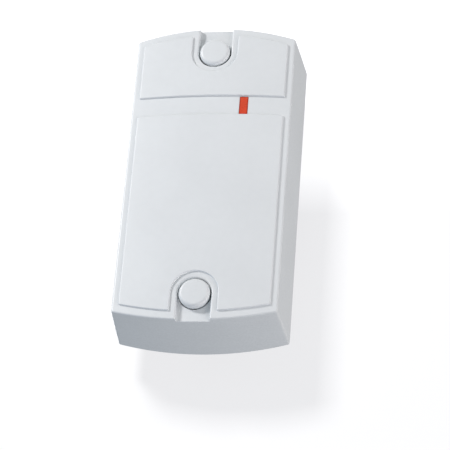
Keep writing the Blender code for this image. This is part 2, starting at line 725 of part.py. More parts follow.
def make_wires():
    plug_face = PLUG_Z + 4.3 * MM
    middle = BOARD_REAR - 2.2 * MM
    order = (0, 3, 6, 1, 4, 7, 2, 5)  # spreads each row of the bundle over the plug
    slots = wire_slots()
    for i, ((colour, rgb), slot) in enumerate(zip(WIRE_COLOURS.items(), order)):
        x = (i - (len(WIRE_COLOURS) - 1) / 2) * WIRE_PITCH
        slot_x, slot_z, run = slots[slot]
        spread = 1.9
        corners = [
            (x, middle, plug_face - 1.4 * MM),
            (x, middle, plug_face + 0.7 * MM),
            (x, run, plug_face + 2.2 * MM),
            (slot_x, run, CABLE_Z - 3.4 * MM),
            (slot_x, run, CABLE_Z + slot_z),
            (slot_x, JACKET_OUTSIDE_END - 1.0 * MM, CABLE_Z + slot_z),
            (slot_x * spread, WIRE_END + 4 * MM, CABLE_Z + slot_z * spread),
            (slot_x * spread, WIRE_END, CABLE_Z + slot_z * spread),
        ]
        wire = tube(f"{colour}_wire", rounded_path(corners, 1.0 * MM), WIRE_RADIUS)
        finish(smooth(wire), rgb, 0.4)


def make_cable_jacket():
    inside, outside = JACKET_INSIDE_END, JACKET_OUTSIDE_END
    profile = [(JACKET_RADIUS, inside), (JACKET_RADIUS, outside)]
    profile += [(JACKET_BORE, outside), (JACKET_BORE, inside)]
    jacket = turned("cable_jacket", profile, z=CABLE_Z, closed=True)
    return finish(smooth(jacket), (0.09, 0.09, 0.095), 0.5)


def make_cable_grommet():
    """A strain relief: a flange inside the plate, a body in its hole, and a ribbed snout."""
    bore = JACKET_RADIUS + 0.1 * MM
    body = CABLE_HOLE - 0.1 * MM
    flange_rear = PLATE_THICKNESS + GAP
    profile = [(5.9 * MM, flange_rear + 1.0 * MM), (5.9 * MM, flange_rear), (body, flange_rear)]
    profile += [(body, -0.6 * MM)]
    for i in range(3):
        top = -0.6 * MM - i * 2.6 * MM
        radius = body - i * 0.35 * MM
        groove = radius - 0.7 * MM
        profile += [(groove, top - 0.3 * MM), (groove, top - 1.1 * MM)]
        profile += [(radius - 0.25 * MM, top - 1.4 * MM), (radius - 0.35 * MM, top - 2.6 * MM)]
    profile += [(bore + 0.4 * MM, -9.2 * MM), (bore, -9.2 * MM), (bore, flange_rear + 1.0 * MM)]
    grommet = turned("cable_grommet", profile, z=CABLE_Z, closed=True)
    return finish(smooth(grommet), (0.03, 0.03, 0.032), 0.6)


# ---------------------------------------------------------------- assembly


def make_reader():
    make_front_cover()
    make_rear_plate()
    make_perimeter_seal()
    make_rear_label()
    make_indicator_lens()
    for word, side in (("upper", 1), ("lower", -1)):
        make_screw_cap(f"{word}_screw_cap", side)
        make_mounting_screw(f"{word}_mounting_screw", side)
    corners = [(sx, sz) for sz in (1, -1) for sx in (-1, 1)]
    for i, (sx, sz) in enumerate(corners, 1):
        make_case_screw(f"case_screw_{i}", sx * CASE_SCREW_X, sz * CASE_SCREW_Z)
        make_board_screw(f"board_screw_{i}", sx * BOARD_SCREW_X, sz * BOARD_SCREW_Z)
    make_coil_former()
    make_antenna_coil()
    make_coil_lead("coil_lead_1", -1.5 * MM)
    make_coil_lead("coil_lead_2", 1.5 * MM)
    make_circuit_board()
    make_front_components()
    make_rear_components()
    make_wire_connector()
    make_wires()
    make_cable_jacket()
    make_cable_grommet()


make_reader()
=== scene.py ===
"""Looks of the wall-mounted proximity card reader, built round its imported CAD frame.

Frame: metres, +Z up the long side of the case, the front facing -Y, and the origin at the centre
of the back face. A height is a distance out from the wall, so it is -Y. The visible pieces are
fine meshes at the CAD's sizes, and every piece has a node-based material.
"""

import math

import bmesh
import bpy
from mathutils import Matrix, Vector


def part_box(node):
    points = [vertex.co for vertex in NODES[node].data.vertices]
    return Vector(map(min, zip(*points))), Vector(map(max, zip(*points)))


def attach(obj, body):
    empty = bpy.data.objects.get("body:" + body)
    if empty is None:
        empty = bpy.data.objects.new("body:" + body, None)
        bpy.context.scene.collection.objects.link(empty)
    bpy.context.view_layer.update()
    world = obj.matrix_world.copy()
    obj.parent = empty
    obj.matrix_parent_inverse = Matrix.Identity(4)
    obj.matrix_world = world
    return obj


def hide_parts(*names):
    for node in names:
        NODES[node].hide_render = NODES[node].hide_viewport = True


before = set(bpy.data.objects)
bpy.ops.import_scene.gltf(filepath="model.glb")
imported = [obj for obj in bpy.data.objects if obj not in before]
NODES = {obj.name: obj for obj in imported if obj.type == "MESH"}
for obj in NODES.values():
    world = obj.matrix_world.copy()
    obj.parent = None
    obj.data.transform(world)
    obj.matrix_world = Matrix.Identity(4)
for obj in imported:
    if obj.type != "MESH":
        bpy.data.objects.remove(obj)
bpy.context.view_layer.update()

MM = 0.001

# Case, from the CAD's box. The ends bow out by END_RISE, and the front falls by CROWN to its sides.
LOW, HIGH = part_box("front_cover")
CASE_WIDTH = HIGH.x - LOW.x
CASE_HEIGHT = HIGH.z - LOW.z
PANEL_RAISE = 0.5 * MM
FACE_HEIGHT = -LOW.y - PANEL_RAISE
END_RISE = 2.87 * MM
SIDE_DRAFT = 1.05 * MM
END_DRAFT = 0.55 * MM
CROWN = 1.38 * MM
BEND_FROM = 10.0 * MM
CROWN_STRIP = 1.0 * MM
WALL = 2.4 * MM
FRONT_WALL = 2.0 * MM
INNER_FACE = FACE_HEIGHT - FRONT_WALL
CASE_EDGE = 0.45 * MM
OUTLINE_STEPS = 40

# Raised panels, whose feet are measured from the middle of the case
PANEL_HALF_WIDTH = 18.7 * MM
PANEL_END_INSET = 2.15 * MM
UPPER_PANEL_FOOT = 21.5 * MM
LOWER_PANEL_FOOT = -16.0 * MM
PANEL_EDGE = 0.27 * MM

# Screw caps, recesses and pry channels
SCREW_Z = 34.7 * MM
RECESS_RADIUS = 3.985 * MM
CHANNEL_HALF_WIDTH = 4.2 * MM
CHANNEL_FLOOR = 17.2 * MM
CHANNEL_EDGE = 0.45 * MM
COLLAR_RADIUS = 5.9 * MM
CHANNEL_SLOPE = math.radians(80)
FLOOR_END_EDGE = 0.15 * MM
SHOULDER = 9.5 * MM
COLUMN_RADIUS = 6.0 * MM
SCREW_BORE = 2.2 * MM

CAP_LOW, CAP_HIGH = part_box("upper_screw_cap")
CAP_RADIUS = (CAP_HIGH.x - CAP_LOW.x) / 2
CAP_TOP, CAP_SKIRT_FOOT = -CAP_LOW.y, -CAP_HIGH.y
CAP_EDGE = 0.95 * MM
CAP_DISC = 1.7 * MM
SKIRT_OUTER, SKIRT_INNER = CAP_RADIUS - 0.2 * MM, CAP_RADIUS - 1.1 * MM
FINGER_SLOT = 1.2 * MM

# Window
LENS_FOOT = -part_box("indicator_lens")[1].y
WINDOW_WIDTH, WINDOW_LENGTH = 2.15 * MM, 5.2 * MM
WINDOW_GAP = 0.06 * MM
LENS_FLANGE_REAR, LENS_FLANGE_FRONT = 15.1 * MM, 16.4 * MM
WINDOW = [(a + b) / 2 for a, b in zip(*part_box("indicator_lens"))][::2]

# Rear plate
LEDGE = 2.8 * MM
PLATE_SEAT_INSET = 1.2 * MM
PLATE_INSET = 1.3 * MM
PLATE_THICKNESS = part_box("rear_plate")[1].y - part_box("rear_plate")[0].y
BOARD_FRONT = -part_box("circuit_board")[0].y
CABLE_HOLE = 4.6 * MM
MOUNTING_HOLE = 2.3 * MM
LABEL_RECESS = 0.4 * MM
LABEL_GAP = 0.4 * MM
EJECTOR_RADIUS = 1.6 * MM
EJECTOR_DEPTH = 0.08 * MM
EJECTOR_MARKS = ((9 * MM, 24 * MM), (16.5 * MM, -6 * MM))

# Screws that hold the plate and the board, and their bosses inside the cover. A boss is given by
# its radius, its pilot hole's radius, and that hole's rear and front ends.
CASE_SCREWS = [(sx * 14.0 * MM, sz * 32.0 * MM) for sz in (1, -1) for sx in (-1, 1)]
BOARD_SCREWS = [(sx * 11.9 * MM, sz * 21.0 * MM) for sz in (1, -1) for sx in (-1, 1)]
CASE_BOSS = (2.4 * MM, 0.95 * MM, MM, 10 * MM)
BOARD_BOSS = (1.9 * MM, 0.87 * MM, 8 * MM, 13.5 * MM)
BOSS_OVERLAP = 0.8 * MM

# Cable
CABLE_Z = (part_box("cable_jacket")[0].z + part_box("cable_jacket")[1].z) / 2
PLUG_Z = CABLE_Z - 14.5 * MM
WIRE_RADIUS = 0.42 * MM
WIRE_PITCH = 1.8 * MM
WIRE_SPACING = 1.12 * MM
WIRE_FAN = 1.9
STRIPPED = 3.5 * MM
STRAND_RADIUS = 0.09 * MM
OUTER_STRANDS = 6
LAY_STEPS, LAY_STEP_DEGREES = 12, 12
WIRE_COLOURS = {
    "red": (0.55, 0.02, 0.02),
    "black": (0.02, 0.02, 0.02),
    "green": (0.02, 0.28, 0.06),
    "white": (0.80, 0.80, 0.78),
    "brown": (0.16, 0.06, 0.025),
    "blue": (0.02, 0.08, 0.42),
    "orange": (0.75, 0.20, 0.02),
    "yellow": (0.80, 0.62, 0.04),
}

# Points closer than this are one point, on a seam or on a plain mesh
SEAM_WELD = 0.001 * MM
SAME_POINT = 0.0001 * MM

# How far a cutter runs on past what it cuts
PAST = 1.0 * MM

# Stage
BACKDROP_DISTANCE = 10 * MM
BACKDROP_SIZE = 3.0
# The backdrop's glow at its lower and upper strengths, and the heights over which it rises: painted
# light that washes out the top of the reader's shadow.
BACKDROP_GLOW = 0.712, 0.90
BACKDROP_FADE = 3 * MM, 15 * MM


# ---------------------------------------------------------------- outlines, as (x, z) points


def arc(centre, radius, start, end, steps):
    """Points on a circle from one angle to another, in degrees."""
    angles = [math.radians(start + (end - start) * i / steps) for i in range(steps + 1)]
    return [
        (centre[0] + radius * math.cos(a), centre[1] + radius * math.sin(a)) for a in angles
    ]


def circle(centre, radius, steps):
    return arc(centre, radius, 0, 360, steps)[:-1]


def end_curve(width, height):
    """Radius of the bowed end of a case outline, and its centre's distance above the middle."""
    radius = ((width / 2) ** 2 + END_RISE**2) / (2 * END_RISE)
    return radius, height / 2 - radius


def case_outline(inset):
    """The case's outline at the wall, set in by a margin: straight sides and bowed ends."""
    radius, centre_z = end_curve(CASE_WIDTH, CASE_HEIGHT)
    half = CASE_WIDTH / 2 - inset
    lean = math.degrees(math.asin(half / (radius - inset)))
    top = arc((0, centre_z), radius - inset, 90 - lean, 90 + lean, OUTLINE_STEPS)
    return top + [(-x, -z) for x, z in top]


def rounded_rectangle(half_x, half_z, radius, steps, centre):
    points = []
    for corner, (sx, sz) in enumerate(((1, 1), (-1, 1), (-1, -1), (1, -1))):
        middle = (centre[0] + sx * (half_x - radius), centre[1] + sz * (half_z - radius))
        points += arc(middle, radius, 90 * corner, 90 * corner + 90, steps)
    return points


def front_scale():
    """How much smaller the case outline is at the front than at the wall."""
    return 1 - 2 * SIDE_DRAFT / CASE_WIDTH, 1 - 2 * END_DRAFT / CASE_HEIGHT


def panel_outline(foot, side):
    """A raised panel: a straight inner edge, a bowed end, and a U round the screw cap.

    foot is how far the straight edge lies from the middle, towards the panel's own end of the
    case. side is 1 for the upper panel and -1 for the lower one.
    """
    scale_x, scale_z = front_scale()
    radius, centre_z = end_curve(CASE_WIDTH * scale_x, CASE_HEIGHT * scale_z)
    radius -= PANEL_END_INSET
    outer = math.degrees(math.acos(PANEL_HALF_WIDTH / radius))
    inner = math.degrees(math.acos(COLLAR_RADIUS / radius))
    right_end = arc((0, centre_z), radius, outer, inner, 16)
    collar = arc((0, SCREW_Z), COLLAR_RADIUS, 0, -180, 48)
    left_end = [(-x, z) for x, z in reversed(right_end)]
    straight = [(-PANEL_HALF_WIDTH, foot), (PANEL_HALF_WIDTH, foot)]
    return [(x, side * z) for x, z in straight + right_end + collar + left_end]


# ---------------------------------------------------------------- mesh tools


def new_object(name, data):
    obj = bpy.data.objects.new(name, data)
    bpy.context.scene.collection.objects.link(obj)
    return obj


def add_mesh(name, edit):
    """A new object from a bmesh, with its faces turned outwards."""
    bmesh.ops.recalc_face_normals(edit, faces=edit.faces)
    mesh = bpy.data.meshes.new(name)
    edit.to_mesh(mesh)
    edit.free()
    return new_object(name, mesh)


def loft(name, rings):
    """A closed solid through rings of as many points each, given as (x, height, z) points."""
    edit = bmesh.new()
    rows = [[edit.verts.new((x, -height, z)) for x, height, z in ring] for ring in rings]
    for below, above in zip(rows, rows[1:]):
        for i in range(len(below)):
            j = (i + 1) % len(below)
            edit.faces.new((below[i], below[j], above[j], above[i]))
    edit.faces.new(rows[0])
    edit.faces.new(rows[-1])
    return add_mesh(name, edit)


def slab(name, outline, rear, front):
    """A flat plate between two heights."""
    return loft(name, [[(x, height, z) for x, z in outline] for height in (rear, front)])


def turned(name, profile, x=0.0, z=0.0, closed=False, steps=96):
    """A turned shape about an axis out of the wall. The profile holds (radius, height) points."""
    edit = bmesh.new()
    columns = []
    for radius, height in profile:
        if radius == 0:
            columns.append([edit.verts.new((x, -height, z))] * steps)
            continue
        ring = arc((x, z), radius, 0, 360, steps)[:-1]
        columns.append([edit.verts.new((px, -height, pz)) for px, pz in ring])
    pairs = list(zip(columns, columns[1:]))
    if closed:
        pairs.append((columns[-1], columns[0]))
    for first, second in pairs:
        for i in range(steps):
            j = (i + 1) % steps
            corners = dict.fromkeys((first[i], first[j], second[j], second[i]))
            edit.faces.new(tuple(corners))
    return add_mesh(name, edit)


def block(name, size, centre):
    """A box with its size and centre as (x, height, z)."""
    edit = bmesh.new()
    place = Matrix.Translation((centre[0], -centre[1], centre[2]))
    bmesh.ops.create_cube(edit, size=1.0, matrix=place @ Matrix.Diagonal((*size, 1.0)))
    return add_mesh(name, edit)


def edit_mesh(obj, change):
    """Run a change on a bmesh of an object's mesh."""
    edit = bmesh.new()
    edit.from_mesh(obj.data)
    change(edit)
    edit.to_mesh(obj.data)
    edit.free()
    return obj


def evaluated_mesh(obj):
    bpy.context.view_layer.update()
    graph = bpy.context.evaluated_depsgraph_get()
    return bpy.data.meshes.new_from_object(obj.evaluated_get(graph))


def fix_shape(obj):
    """Replace an object's mesh by its evaluated shape, and drop its modifiers."""
    mesh = evaluated_mesh(obj)
    obj.modifiers.clear()
    obj.data = mesh
    return obj


def weld(obj):
    """Merge the doubled points that a cut or a joint leaves along its seam."""

    def merge(edit):
        bmesh.ops.remove_doubles(edit, verts=edit.verts, dist=SEAM_WELD)
        bmesh.ops.dissolve_degenerate(edit, edges=edit.edges, dist=SEAM_WELD)

    return edit_mesh(obj, merge)


def combine(target, others, operation):
    """Cut the others from the target or join them to it, and drop them."""
    for other in others:
        modifier = target.modifiers.new("boolean", "BOOLEAN")
        modifier.operation = operation
        modifier.solver = "EXACT"
        modifier.object = other
        weld(fix_shape(target))
        bpy.data.objects.remove(other, do_unlink=True)
    return target


def cut(target, *others):
    return combine(target, others, "DIFFERENCE")


def join(target, *others):
    return combine(target, others, "UNION")


def round_edges(obj, width, segments=4):
    """Round the edges where faces meet at more than 40 degrees."""
    bevel = obj.modifiers.new("round", "BEVEL")
    bevel.width = width
    bevel.segments = segments
    bevel.limit_method = "ANGLE"
    bevel.angle_limit = math.radians(40)
    return fix_shape(obj)


def smooth(obj, angle=30):
    """Smooth shading that keeps flat faces flat up to their rounded edges."""
    obj.data.shade_smooth()
    obj.data.set_sharp_from_angle(angle=math.radians(angle))
    weighted = obj.modifiers.new("weighted", "WEIGHTED_NORMAL")
    weighted.keep_sharp = True
    weighted.weight = 90
    return obj


def crown_fall(x):
    """How far the front has fallen at this distance from the centre line."""
    half = CASE_WIDTH / 2 - SIDE_DRAFT
    return CROWN * (x / half) ** 2


def bend_to_crown(obj):
    """Bow a piece modelled flat, so that its front follows the crowned front of the case."""

    def bend(edit):
        first = math.ceil(min(v.co.x for v in edit.verts) / CROWN_STRIP)
        last = math.floor(max(v.co.x for v in edit.verts) / CROWN_STRIP)
        for i in range(first, last + 1):
            bmesh.ops.bisect_plane(
                edit,
                geom=edit.verts[:] + edit.edges[:] + edit.faces[:],
                dist=SAME_POINT,
                plane_co=(i * CROWN_STRIP, 0, 0),
                plane_no=(1, 0, 0),
            )
        bmesh.ops.triangulate(edit, faces=edit.faces)
        for vertex in edit.verts:
            share = max(0, -vertex.co.y - BEND_FROM) / (FACE_HEIGHT - BEND_FROM)
            vertex.co.y += crown_fall(vertex.co.x) * share

    return edit_mesh(obj, bend)


def drafted_slab(name, inset, rear, front):
    """A slab of the case's outline whose sides lean in towards the front of the case."""
    scale_x, scale_z = front_scale()
    rings = []
    for height in (rear, front):
        share = height / FACE_HEIGHT
        lean_x, lean_z = 1 + (scale_x - 1) * share, 1 + (scale_z - 1) * share
        rings.append([(x * lean_x, height, z * lean_z) for x, z in case_outline(inset)])
    return loft(name, rings)


# ---------------------------------------------------------------- material tools


def new_material(name):
    material = bpy.data.materials.new(name)
    material.use_nodes = True
    return material, material.node_tree, material.node_tree.nodes["Principled BSDF"]


def wire(tree, source, target):
    tree.links.new(source, target)


def set_values(node, **settings):
    """Set a node's properties, and its inputs by their names, with _ for a space."""
    for key, value in settings.items():
        if hasattr(node, key):
            setattr(node, key, value)
        else:
            node.inputs[key.replace("_", " ")].default_value = value


def add_node(tree, kind, **settings):
    node = tree.nodes.new("ShaderNode" + kind)
    set_values(node, **settings)
    return node


def calculate(tree, operation, *values):
    """The result of a maths node on sockets and plain numbers."""
    node = add_node(tree, "Math", operation=operation)
    for socket, value in zip(node.inputs, values):
        if isinstance(value, bpy.types.NodeSocket):
            wire(tree, value, socket)
        else:
            socket.default_value = value
    return node.outputs[0]


def speckle(tree, feature, detail=2.0, roughness=0.5):
    """Noise on object coordinates whose features are about this many metres across."""
    place = add_node(tree, "TexCoord")
    noise = add_node(tree, "TexNoise", Scale=1 / feature, Detail=detail, Roughness=roughness)
    wire(tree, place.outputs["Object"], noise.inputs["Vector"])
    return noise.outputs["Fac"]


def spread(tree, source, low, high, from_low=0.3, from_high=0.7):
    """A value stretched from one range to another."""
    node = add_node(tree, "MapRange", To_Min=low, To_Max=high)
    set_values(node, From_Min=from_low, From_Max=from_high)
    wire(tree, source, node.inputs["Value"])
    return node.outputs["Result"]


def scaled_colour(tree, colour, factor):
    """A colour multiplied by a value socket."""
    node = add_node(tree, "VectorMath", operation="SCALE", Vector=colour)
    wire(tree, factor, node.inputs["Scale"])
    return node.outputs["Vector"]


def colour_by(tree, shader, colour, factor):
    """Give a shader a base colour multiplied by a value socket."""
    wire(tree, scaled_colour(tree, colour, factor), shader.inputs["Base Color"])


def add_bump(tree, shader, height, strength, depth):
    """Fine relief from a value socket."""
    bump = add_node(tree, "Bump", Strength=strength, Distance=depth)
    wire(tree, height, bump.inputs["Height"])
    wire(tree, bump.outputs["Normal"], shader.inputs["Normal"])


def edge_mask(tree, radius):
    """1 on rounded and sharp edges, and 0 on broad faces."""
    bevel = add_node(tree, "Bevel", samples=4, Radius=radius)
    shape = add_node(tree, "NewGeometry")
    dot = add_node(tree, "VectorMath", operation="DOT_PRODUCT")
    wire(tree, bevel.outputs["Normal"], dot.inputs[0])
    wire(tree, shape.outputs["Normal"], dot.inputs[1])
    return spread(tree, dot.outputs["Value"], 1, 0, 0.9, 1.0)


def side_mask(tree):
    """1 on the walls that stand out from the wall face, and 0 on the front and the back."""
    shape = add_node(tree, "NewGeometry")
    split = add_node(tree, "SeparateXYZ")
    wire(tree, shape.outputs["True Normal"], split.inputs["Vector"])
    return spread(tree, calculate(tree, "ABSOLUTE", split.outputs["Y"]), 1, 0, 0.5, 0.9)


def outside_mask(tree, centre, half_x, half_z):
    """0 in a column through an (x, z) rectangle, 1 outside it."""
    place = add_node(tree, "TexCoord")
    split = add_node(tree, "SeparateXYZ")
    wire(tree, place.outputs["Object"], split.inputs["Vector"])
    beyond = []
    for axis, middle, half in (("X", centre.x, half_x), ("Z", centre.z, half_z)):
        shift = calculate(tree, "SUBTRACT", split.outputs[axis], middle)
        beyond.append(calculate(tree, "GREATER_THAN", calculate(tree, "ABSOLUTE", shift), half))
    return calculate(tree, "MAXIMUM", *beyond)


# ---------------------------------------------------------------- materials


def moulded_plastic(name, colour, roughness=0.42, depth=4e-6):
    """Moulded plastic: a fine spark-eroded grain, a faint drift in tone, and worn edges."""
    material, tree, shader = new_material(name)
    mottle, wall_mottle = 0.014, 0.03
    fine = speckle(tree, 0.12 * MM, 3.0, 0.6)
    blotch = speckle(tree, 1.6 * MM)
    coarse = spread(tree, speckle(tree, 0.5 * MM), -wall_mottle, wall_mottle)
    tone = spread(tree, speckle(tree, 14 * MM, 1.0), 1 - mottle, 1 + mottle)
    for layer in (
        spread(tree, blotch, 1 - mottle / 2, 1 + mottle / 2),
        spread(tree, fine, 1 - mottle / 2, 1 + mottle / 2),
        calculate(tree, "MULTIPLY_ADD", coarse, side_mask(tree), 1.0),
    ):
        tone = calculate(tree, "MULTIPLY", tone, layer)
    colour_by(tree, shader, colour, tone)
    dull = spread(tree, blotch, roughness - 0.03, roughness + 0.03)
    gloss = calculate(tree, "MULTIPLY_ADD", edge_mask(tree, 0.25 * MM), -0.08, dull)
    wire(tree, gloss, shader.inputs["Roughness"])
    add_bump(tree, shader, fine, 0.5, depth)
    set_values(shader, IOR=1.5)
    return material


def rubbery(name, colour, roughness=0.62):
    """Rubber or soft PVC: matt, with a fine grain, a faint sheen and greyer worn edges."""
    material, tree, shader = new_material(name)
    fine = speckle(tree, 0.09 * MM, 3.0, 0.6)
    cloud = spread(tree, speckle(tree, 3 * MM), 0.85, 1.2)
    worn = calculate(tree, "MULTIPLY_ADD", edge_mask(tree, 0.2 * MM), 0.5, cloud)
    colour_by(tree, shader, colour, worn)
    wire(tree, spread(tree, fine, roughness - 0.07, roughness + 0.07), shader.inputs["Roughness"])
    add_bump(tree, shader, fine, 0.6, 6e-6)
    set_values(shader, Sheen_Weight=0.15)
    return material


def metal(name, colour):
    """Plated or drawn metal: fine scratches, patches of duller plating, brighter edges."""
    material, tree, shader = new_material(name)
    scratches = speckle(tree, 0.06 * MM, 2.0, 0.7)
    patches = speckle(tree, 0.7 * MM, 3.0)
    patchy = spread(tree, patches, 0.88, 1.04)
    tone = calculate(tree, "MULTIPLY_ADD", edge_mask(tree, 0.08 * MM), 0.12, patchy)
    colour_by(tree, shader, colour, tone)
    dull = spread(tree, patches, 0.24, 0.4)
    gloss = calculate(tree, "ADD", dull, spread(tree, scratches, -0.03, 0.05))
    wire(tree, gloss, shader.inputs["Roughness"])
    add_bump(tree, shader, scratches, 0.25, 3e-6)
    set_values(shader, Metallic=1.0)
    return material


def label_foil():
    """Blank satin foil, brushed along its length."""
    material, tree, shader = new_material("label_foil")
    place = add_node(tree, "TexCoord")
    stretch = add_node(tree, "Mapping", Scale=(0.04, 1, 1))
    wire(tree, place.outputs["Object"], stretch.inputs["Vector"])
    noise = add_node(tree, "TexNoise", Scale=1 / (0.12 * MM), Detail=3.0)
    wire(tree, stretch.outputs["Vector"], noise.inputs["Vector"])
    brushed = noise.outputs["Fac"]
    colour_by(tree, shader, (0.72, 0.72, 0.70), spread(tree, brushed, 0.94, 1.05))
    wire(tree, spread(tree, brushed, 0.28, 0.44), shader.inputs["Roughness"])
    add_bump(tree, shader, brushed, 0.2, 2e-6)
    set_values(shader, Metallic=0.25, Coat_Weight=0.2)
    return material


def lens_acrylic():
    """Tinted acrylic, slightly milky, with painted shade in a margin round its edges."""
    material, tree, shader = new_material("lens_acrylic")
    milky = spread(tree, speckle(tree, 1.2 * MM), 0.94, 1.08)
    middle = Vector((WINDOW[0], 0, WINDOW[1]))
    # Painted shade: a margin this wide round the window is darkened and the middle lifted, as where
    # the case's walls round the slot shade the lens.
    rim = 0.3 * MM
    outer = outside_mask(tree, middle, WINDOW_WIDTH / 2 - rim, WINDOW_LENGTH / 2 - rim)
    tone = calculate(tree, "MULTIPLY", milky, spread(tree, outer, 1.05, 0.82, 0, 1))
    colour_by(tree, shader, (0.62, 0.062, 0.022), tone)
    fine = speckle(tree, 0.15 * MM)
    wire(tree, spread(tree, fine, 0.2, 0.3), shader.inputs["Roughness"])
    set_values(
        shader,
        Subsurface_Weight=0.2,
        Subsurface_Radius=(0.8, 0.1, 0.06),
        Subsurface_Scale=0.8 * MM,
        IOR=1.49,
    )
    return material


def wire_plastic(colour_name, colour):
    """Glossy wire insulation with the slight waves of its extrusion."""
    material, tree, shader = new_material(f"{colour_name}_insulation")
    wavy = speckle(tree, 0.8 * MM)
    colour_by(tree, shader, colour, spread(tree, wavy, 0.93, 1.07))
    fine = speckle(tree, 0.1 * MM)
    wire(tree, spread(tree, fine, 0.3, 0.42), shader.inputs["Roughness"])
    add_bump(tree, shader, wavy, 0.3, 1e-5)
    return material


def component(node, colour, half_x, half_z):
    """A moulded or ceramic body whose legs or end caps, outside its middle, are tinned."""
    low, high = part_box(node)
    material, tree, shader = new_material(f"{node}_finish")
    fine = speckle(tree, 0.05 * MM, 3.0, 0.6)
    cloud = speckle(tree, 0.8 * MM)
    tinned = outside_mask(tree, (low + high) / 2, half_x, half_z)
    body = scaled_colour(tree, colour, spread(tree, cloud, 0.9, 1.12))
    tin = scaled_colour(tree, (0.70, 0.69, 0.67), spread(tree, cloud, 0.85, 1.05))
    mix = add_node(tree, "Mix", data_type="RGBA")
    wire(tree, tinned, mix.inputs[0])
    wire(tree, body, mix.inputs[6])
    wire(tree, tin, mix.inputs[7])
    wire(tree, mix.outputs[2], shader.inputs["Base Color"])
    wire(tree, tinned, shader.inputs["Metallic"])
    wire(tree, spread(tree, fine, 0.37, 0.5), shader.inputs["Roughness"])
    add_bump(tree, shader, fine, 0.4, 4e-6)
    paint(NODES[node], material)


def board_material():
    """Green solder resist over copper tracks, with the glass weave just showing."""
    material, tree, shader = new_material("solder_resist")
    place = add_node(tree, "TexCoord")
    lay_flat = add_node(tree, "Mapping", Rotation=(math.pi / 2, 0, 0))
    wire(tree, place.outputs["Object"], lay_flat.inputs["Vector"])
    bricks = add_node(tree, "TexBrick", Scale=1.0, offset=0.35)
    set_values(bricks, Brick_Width=5.2 * MM, Row_Height=1.4 * MM, Mortar_Size=0.14 * MM)
    wire(tree, lay_flat.outputs["Vector"], bricks.inputs["Vector"])
    tracks = bricks.outputs["Fac"]
    weave = speckle(tree, 0.35 * MM, 1.0)
    tone = calculate(tree, "MULTIPLY_ADD", tracks, 0.55, spread(tree, weave, 0.92, 1.06))
    colour_by(tree, shader, (0.02, 0.16, 0.06), tone)
    wire(tree, spread(tree, weave, 0.28, 0.36), shader.inputs["Roughness"])
    add_bump(tree, shader, tracks, 0.5, 2e-5)
    set_values(shader, Coat_Weight=0.4)
    return material


def winding_material():
    """Enamelled copper wire laid side by side round the former."""
    material, tree, shader = new_material("enamelled_copper")
    place = add_node(tree, "TexCoord")
    wave = add_node(tree, "TexWave", bands_direction="Y", Scale=0.31 / (0.2 * MM))
    wire(tree, place.outputs["Object"], wave.inputs["Vector"])
    turns = wave.outputs["Fac"]
    cloud = speckle(tree, 2 * MM)
    # Painted shade: the colour darkens in bands between the turns, where the grooves between round
    # wires fall into shade.
    shade = spread(tree, turns, 0.6, 1.1, 0, 1)
    tone = calculate(tree, "MULTIPLY", shade, spread(tree, cloud, 0.9, 1.1))
    colour_by(tree, shader, (0.55, 0.20, 0.07), tone)
    wire(tree, spread(tree, cloud, 0.25, 0.35), shader.inputs["Roughness"])
    add_bump(tree, shader, turns, 0.8, 6e-5)
    set_values(shader, Metallic=0.85)
    return material


def paint(obj, material):
    obj.data.materials.clear()
    obj.data.materials.append(material)
    return obj


def stand_for(obj, node, body, material):
    """Finish a piece that takes the place of a CAD node."""
    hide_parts(node)
    paint(obj, material)
    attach(obj, body)
    return obj


# ---------------------------------------------------------------- case


def channel_cutter(side):
    """The pry channel from a screw cap to the end of the case, with a rounded upper edge."""
    tangent = FACE_HEIGHT - CHANNEL_EDGE * math.sin(CHANNEL_SLOPE)
    levels = [(CHANNEL_FLOOR, 0.0), (tangent, 0.0)]
    steps = 5
    for i in range(1, steps + 1):
        angle = CHANNEL_SLOPE * i / steps
        height = tangent + CHANNEL_EDGE * math.sin(angle)
        levels.append((height, CHANNEL_EDGE * (1 - math.cos(angle))))
    height, grow = levels[-1]
    run = 0.25 * MM
    flared = grow + run * math.sin(CHANNEL_SLOPE)
    levels.append((height + run * math.cos(CHANNEL_SLOPE), flared))
    levels.append((height + 2 * PAST, flared))
    reach = CASE_HEIGHT / 2 + 3 * PAST - SCREW_Z
    rings = []
    for height, grow in levels:
        half = CHANNEL_HALF_WIDTH + grow
        outline = [(half, reach)] + arc((0, 0), half, 0, -180, 64) + [(-half, reach)]
        rings.append([(x, height, side * (SCREW_Z + dz)) for x, dz in outline])
    return loft("channel", rings)


def floor_end_cutter(side):
    """Rounds the edge where the channel's floor meets the end wall."""
    sliver = 0.02 * MM
    end = CASE_HEIGHT / 2 - END_DRAFT * CHANNEL_FLOOR / FACE_HEIGHT - 0.05 * MM
    foot = CHANNEL_FLOOR - FLOOR_END_EDGE - 0.4 * MM
    profile = [(end + 2 * PAST, CHANNEL_FLOOR + sliver)]
    steps = 6
    for i in range(steps + 1):
        angle = math.radians(4 + 82 * i / steps)
        drop = FLOOR_END_EDGE * (1 - math.cos(angle))
        out = end - FLOOR_END_EDGE + FLOOR_END_EDGE * math.sin(angle)
        profile.append((out, CHANNEL_FLOOR - drop))
    profile += [(end + 0.1 * MM, foot), (end + 2 * PAST, foot)]
    half = CHANNEL_HALF_WIDTH - sliver
    rings = [[(x, height, side * z) for z, height in profile] for x in (-half, half)]
    return loft("floor_end", rings)


def add_bosses(cover, places, rear, boss):
    """Screw bosses from a height up into the front wall, each with its pilot hole."""
    radius, pilot_radius, pilot_rear, pilot_front = boss
    for place in places:
        join(cover, slab("boss", circle(place, radius, 32), rear, INNER_FACE + BOSS_OVERLAP))
        cut(cover, slab("pilot", circle(place, pilot_radius, 16), pilot_rear, pilot_front))


